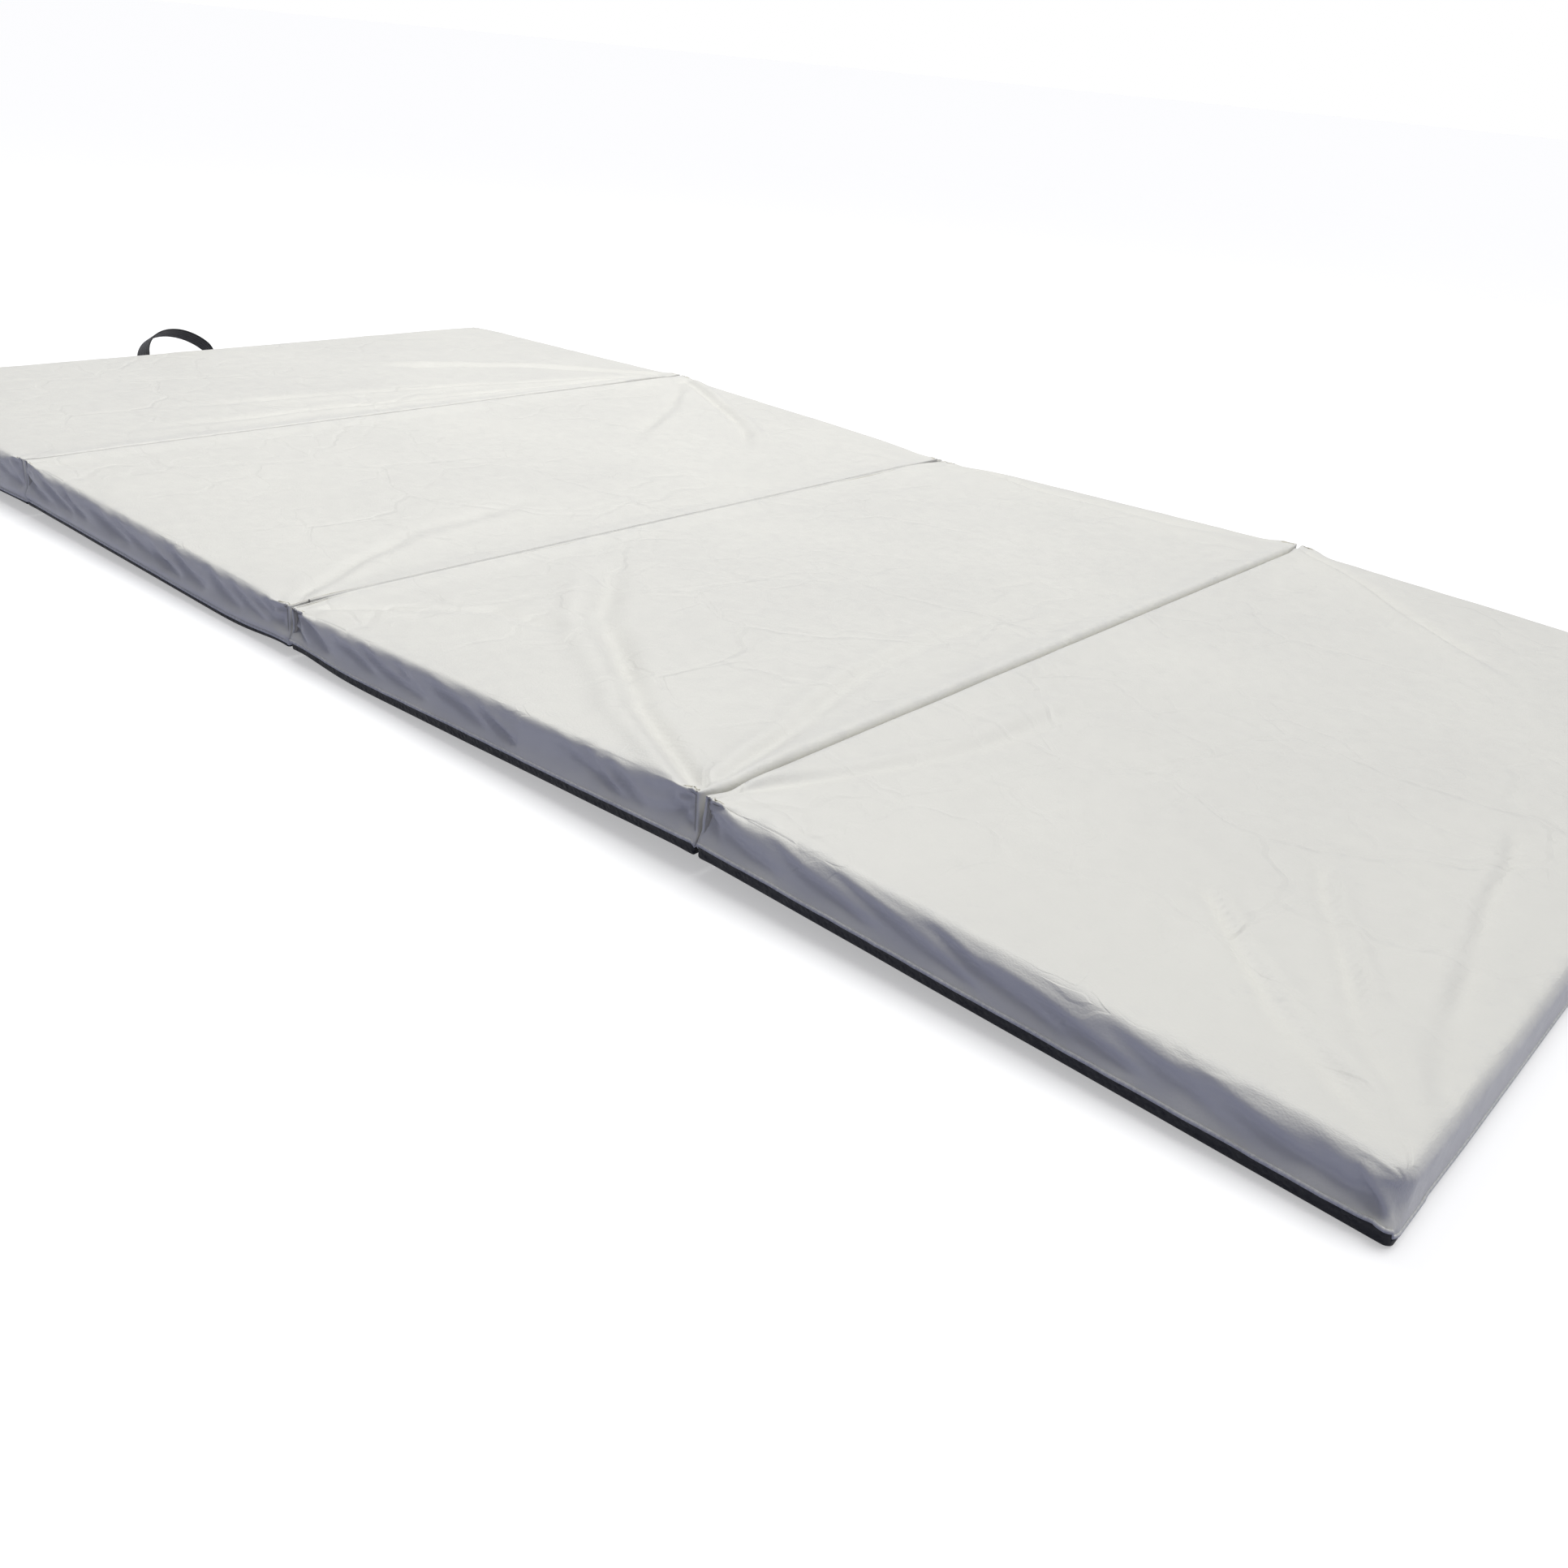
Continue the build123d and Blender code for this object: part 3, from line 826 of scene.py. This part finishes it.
def hinge(fold):
    """A U of cloth in the gap between two panels, thin, with a few puckers along it."""
    joint = JOINTS[f"fold_{fold}"]
    node = node_points(f"hinge_strip_{fold}")
    middle = (SLOPE[fold] + SLOPE[fold + 1]) / 2
    along = np.array([math.cos(middle), 0.0, -math.sin(middle)])
    up = np.array([math.sin(middle), 0.0, math.cos(middle)])
    s, h = node @ along, node @ up
    half, tall = np.ptp(s) / 2, np.ptp(h)
    at_top = fold == 2
    root = h.max() - HINGE_BEND if at_top else h.min()
    tall -= HINGE_BEND if at_top else 0.0
    sign = -1.0 if at_top else 1.0
    centre = s.mean() * along + root * up
    length = node[:, 1].max() - node[:, 1].min() - 0.016
    y = np.linspace(-length / 2, length / 2, 241)
    thin = HINGE_THICKNESS
    edge = half - HINGE_SLACK
    outer, inner = [], []
    for t in np.linspace(0.0, 1.0, 5)[:-1]:
        outer.append((-edge, tall * (1 - t) + HINGE_BEND * t))
        inner.append((-edge + thin, tall * (1 - t) + HINGE_BEND * t))
    for k in range(7):
        a = math.pi + math.pi * k / 6
        outer.append((edge * math.cos(a), HINGE_BEND + 0.0011 * math.sin(a)))
        inner.append(((edge - thin) * math.cos(a), HINGE_BEND + (0.0011 - thin) * math.sin(a)))
    for t in np.linspace(0.0, 1.0, 5)[1:]:
        outer.append((edge, HINGE_BEND * (1 - t) + tall * t))
        inner.append((edge - thin, HINGE_BEND * (1 - t) + tall * t))
    profile = np.array(outer + inner[::-1])
    n = len(profile)
    pucker = 0.00012 * np.sin(y * 420.0) * np.sin(y * 61.0)
    risen = profile[None, :, 1:] + np.abs(pucker)[:, None, None]
    rings = centre + profile[None, :, :1] * along + sign * risen * up
    rings = np.array(np.broadcast_to(rings, (len(y), n, 3)))
    rings[:, :, 1] = y[:, None]
    ids = np.arange(len(y) * n).reshape(len(y), n)
    faces = grid_faces(np.concatenate([ids, ids[:, :1]], 1)).tolist()
    half_n = n // 2
    for row, flip in ((0, False), (len(y) - 1, True)):
        for k in range(half_n - 1):
            quad = [row * n + k, row * n + k + 1, row * n + n - 2 - k, row * n + n - 1 - k]
            faces.append(quad if flip else quad[::-1])
    step = np.concatenate([[0.0], np.cumsum(np.hypot(*np.diff(profile, axis=0).T))])
    uv = np.stack(np.broadcast_arrays(y[:, None], step[None, :]), -1).reshape(-1, 2)
    mesh = new_mesh(f"cloth_hinge_{fold}", rings.reshape(-1, 3), faces, uv, smooth=False)
    if at_top:
        mesh.data.flip_normals()
    finish_piece(mesh, "hinge_cloth", "hinge_cloth", f"hinge_strip_{fold}")
    a, b = joint["parent"], joint["child"]
    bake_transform(mesh)


for fold in (1, 2, 3):
    hinge(fold)

# ------------------------------------------------------------------ carrying handles


def smooth_path(points, count):
    """A Catmull-Rom curve through the points, evenly spaced."""
    p = np.asarray(points, float)
    p = np.vstack([2 * p[0] - p[1], p, 2 * p[-1] - p[-2]])
    fine = []
    for i in range(1, len(p) - 2):
        t = np.linspace(0, 1, 24, endpoint=False)[:, None]
        a, b, c, d = p[i - 1 : i + 3]
        bend, twist = 2 * a - 5 * b + 4 * c - d, 3 * b - a - 3 * c + d
        fine.append(0.5 * (2 * b + (c - a) * t + bend * t**2 + twist * t**3))
    fine = np.vstack([*fine, p[-2:-1]])
    run = np.concatenate([[0.0], np.cumsum(np.sqrt((np.diff(fine, axis=0) ** 2).sum(1)))])
    at = np.linspace(0, run[-1], count)
    return np.stack([np.interp(at, run, fine[:, k]) for k in range(p.shape[1])], 1), at


def handle(number):
    """One length of webbing: sewn flat at both ends, and out in a loop between them."""
    panel = PANEL[number]
    joint = JOINTS[f"handle_{number}_swing"]
    facing = -1.0 if number == 1 else 1.0
    outward = facing * panel.along
    loop = node_points(f"handle_loop_{number}")
    tabs = node_points(f"handle_tabs_{number}")
    pivot = np.array(joint["pos_m"], float)
    tip = loop[(loop - pivot) @ outward > 0.98 * ((loop - pivot) @ outward).max()].mean(0) - pivot
    tilt = math.atan2(tip @ panel.up, tip @ outward)
    wall = ((tabs - pivot) @ outward).min()
    reach = np.linalg.norm(tip)
    middle = (loop[:, 1].max() + loop[:, 1].min()) / 2
    half_span = np.ptp(loop[:, 1]) / 2 - 0.001
    tab_end = np.ptp(tabs[:, 1]) / 2
    pivot[1] = middle
    width = np.ptp((tabs - pivot) @ panel.up)
    thick = 0.0019
    lie = wall + thick / 2 + 0.0024

    arc = [(reach * math.sin(t), -half_span * math.cos(t)) for t in np.radians(np.arange(18, 163, 8))]
    left = [
        (lie, -tab_end),
        (lie, -tab_end + 0.012),
        (lie, -half_span - 0.018),
        (lie + 0.0004, -half_span - 0.009),
        (lie + 0.0022, -half_span - 0.0025),
        (0.0085, -half_span + 0.0005),
    ]
    right = [(x, -y) for x, y in reversed(left)]
    path, at = smooth_path(left + arc + right, 260)
    x, y = path.T
    free = ease((x - 0.004) / 0.022)
    lean = tilt * free
    sway = 0.0025 * np.sin(y * 21.0) * free
    place = pivot + np.outer(x * np.cos(lean), outward) + np.outer(x * np.sin(lean) + sway, panel.up)
    place[:, 1] += y
    broad = np.outer(np.cos(lean), panel.up) - np.outer(np.sin(lean), outward)
    tangent = np.gradient(place, axis=0)
    tangent /= np.linalg.norm(tangent, axis=1)[:, None]
    curl = (0.34 - 0.22 * y / half_span) * free * (1.0 if facing < 0 else 0.4)
    skin = np.cross(tangent, broad)
    skin /= np.linalg.norm(skin, axis=1)[:, None]
    broad = np.cross(skin, tangent)
    broad, skin = (broad * np.cos(curl)[:, None] + skin * np.sin(curl)[:, None],
                   skin * np.cos(curl)[:, None] - broad * np.sin(curl)[:, None])

    half, edge = width / 2 - 0.0004, thick / 2
    across = np.linspace(-half + edge, half - edge, 11)
    rounding = np.radians((60, 20, -20, -60))
    profile = [(a, edge) for a in across]
    profile += [(half - edge + edge * math.cos(t), edge * math.sin(t)) for t in rounding]
    profile += [(a, -edge) for a in across[::-1]]
    profile += [(-half + edge - edge * math.cos(t), -edge * math.sin(t)) for t in rounding]
    profile = np.array(profile)
    rings = (place[:, None, :] + profile[None, :, :1] * broad[:, None, :]
             + profile[None, :, 1:] * skin[:, None, :])
    n, m = rings.shape[:2]
    ids = np.arange(n * m).reshape(n, m)
    faces = grid_faces(np.concatenate([ids, ids[:, :1]], 1)).tolist()
    faces += [list(range(m - 1, -1, -1)), list(range((n - 1) * m, n * m))]
    step = np.concatenate([[0.0], np.cumsum(np.hypot(*np.diff(profile, axis=0).T))])
    uv = np.stack(np.broadcast_arrays(at[:, None], step[None, :]), -1).reshape(-1, 2)
    strap = new_mesh(f"carry_strap_{number}", rings.reshape(-1, 3), faces, uv)
    finish_piece(strap, "webbing", "webbing", f"handle_tabs_{number}", f"handle_loop_{number}")
    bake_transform(strap)

    starts, ends, lifts = [], [], []
    face = (lie + thick / 2) * outward + pivot
    for side in (-1, 1):
        y0, y1 = side * (half_span + 0.021), side * (tab_end - 0.003)
        z0, z1 = -width / 2 + 0.003, width / 2 - 0.003
        lines = [
            ((y0, z0), (y1, z0)),
            ((y1, z0), (y1, z1)),
            ((y1, z1), (y0, z1)),
            ((y0, z1), (y0, z0)),
            ((y0, z0), (y1, z1)),
            ((y0, z1), (y1, z0)),
        ]
        for (ya, za), (yb, zb) in lines:
            a = face + np.array([0, ya, 0]) + za * panel.up
            b = face + np.array([0, yb, 0]) + zb * panel.up
            run = np.linalg.norm(b - a)
            count = max(2, int(run / 0.0036))
            for k in range(count):
                starts.append(a + (b - a) * (k + 0.12) / count)
                ends.append(a + (b - a) * (k + 0.88) / count)
                lifts.append(outward)
    sewn = stitches(f"box_stitching_{number}", starts, ends, lifts, 0.00042)
    finish_piece(sewn, "thread", "webbing")
    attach(sewn, panel.body)


for number in (1, 4):
    handle(number)

# ------------------------------------------------------------------ floor and light

FLOOR_RADIUS = 60.0
FLOOR_SIDES = 96
rim = [(FLOOR_RADIUS * math.cos(a), FLOOR_RADIUS * math.sin(a), 0.0)
       for a in np.linspace(0, 2 * math.pi, FLOOR_SIDES, endpoint=False)]
floor_mesh = bpy.data.meshes.new("floor")
floor_mesh.from_pydata(rim, [], [list(range(FLOOR_SIDES))])
floor = bpy.data.objects.new("floor", floor_mesh)
scene.collection.objects.link(floor)
floor_look = bpy.data.materials.new("floor")
floor_look.use_nodes = True
floor_shader = floor_look.node_tree.nodes["Principled BSDF"]
floor_shader.inputs["Base Color"].default_value = (0.72, 0.72, 0.72, 1.0)
floor_shader.inputs["Emission Color"].default_value = (1.0, 1.0, 1.0, 1.0)
floor_shader.inputs["Emission Strength"].default_value = 0.42
floor_shader.inputs["Roughness"].default_value = 0.9
floor_shader.inputs["Specular IOR Level"].default_value = 0.1
floor_mesh.materials.append(floor_look)
floor.visible_diffuse = False

sun_data = bpy.data.lights.new("overhead", "SUN")
sun_data.energy = 1.78
sun_data.angle = math.radians(48.0)
sun = bpy.data.objects.new("overhead", sun_data)
sun.rotation_euler = Euler((math.radians(-12.0), math.radians(8.0), 0.0))
scene.collection.objects.link(sun)

softbox_data = bpy.data.lights.new("softbox", "AREA")
softbox_data.shape = "DISK"
softbox_data.size = 1.7
softbox_data.energy = 22.0
softbox = bpy.data.objects.new("softbox", softbox_data)
softbox.location = (-0.75, 0.55, 2.1)
softbox.rotation_euler = (Vector((-0.1, 0.0, 0.0)) - softbox.location).to_track_quat("-Z", "Y").to_euler()
scene.collection.objects.link(softbox)

world = bpy.data.worlds.new("studio")
scene.world = world
world.use_nodes = True
nodes, links = world.node_tree.nodes, world.node_tree.links
nodes.clear()
coordinate = nodes.new("ShaderNodeTexCoord")
split = nodes.new("ShaderNodeSeparateXYZ")
links.new(coordinate.outputs["Generated"], split.inputs[0])
ramp = nodes.new("ShaderNodeValToRGB")
steps = ramp.color_ramp.elements
steps[0].position, steps[0].color = 0.0, (0.62, 0.64, 0.80, 1.0)
steps[1].position, steps[1].color = 1.0, (0.30, 0.30, 0.30, 1.0)
SKY_TONES = (
    (0.28, (0.23, 0.25, 0.41)),
    (0.48, (0.090, 0.105, 0.225)),
    (0.62, (0.12, 0.13, 0.215)),
    (0.80, (0.26, 0.26, 0.27)),
)
for share, tone in SKY_TONES:
    steps.new(share).color = (*tone, 1.0)
elevation = nodes.new("ShaderNodeMapRange")
elevation.inputs["From Min"].default_value = -1.0
elevation.inputs["From Max"].default_value = 1.0
links.new(split.outputs["Z"], elevation.inputs["Value"])
links.new(elevation.outputs["Result"], ramp.inputs["Fac"])
dome = nodes.new("ShaderNodeBackground")
links.new(ramp.outputs["Color"], dome.inputs["Color"])
dome.inputs["Strength"].default_value = 1.0
white = nodes.new("ShaderNodeBackground")
white.inputs["Color"].default_value = (1.0, 1.0, 1.0, 1.0)
ray = nodes.new("ShaderNodeLightPath")
choose = nodes.new("ShaderNodeMixShader")
links.new(ray.outputs["Is Camera Ray"], choose.inputs["Fac"])
links.new(dome.outputs[0], choose.inputs[1])
links.new(white.outputs[0], choose.inputs[2])
out = nodes.new("ShaderNodeOutputWorld")
links.new(choose.outputs[0], out.inputs["Surface"])
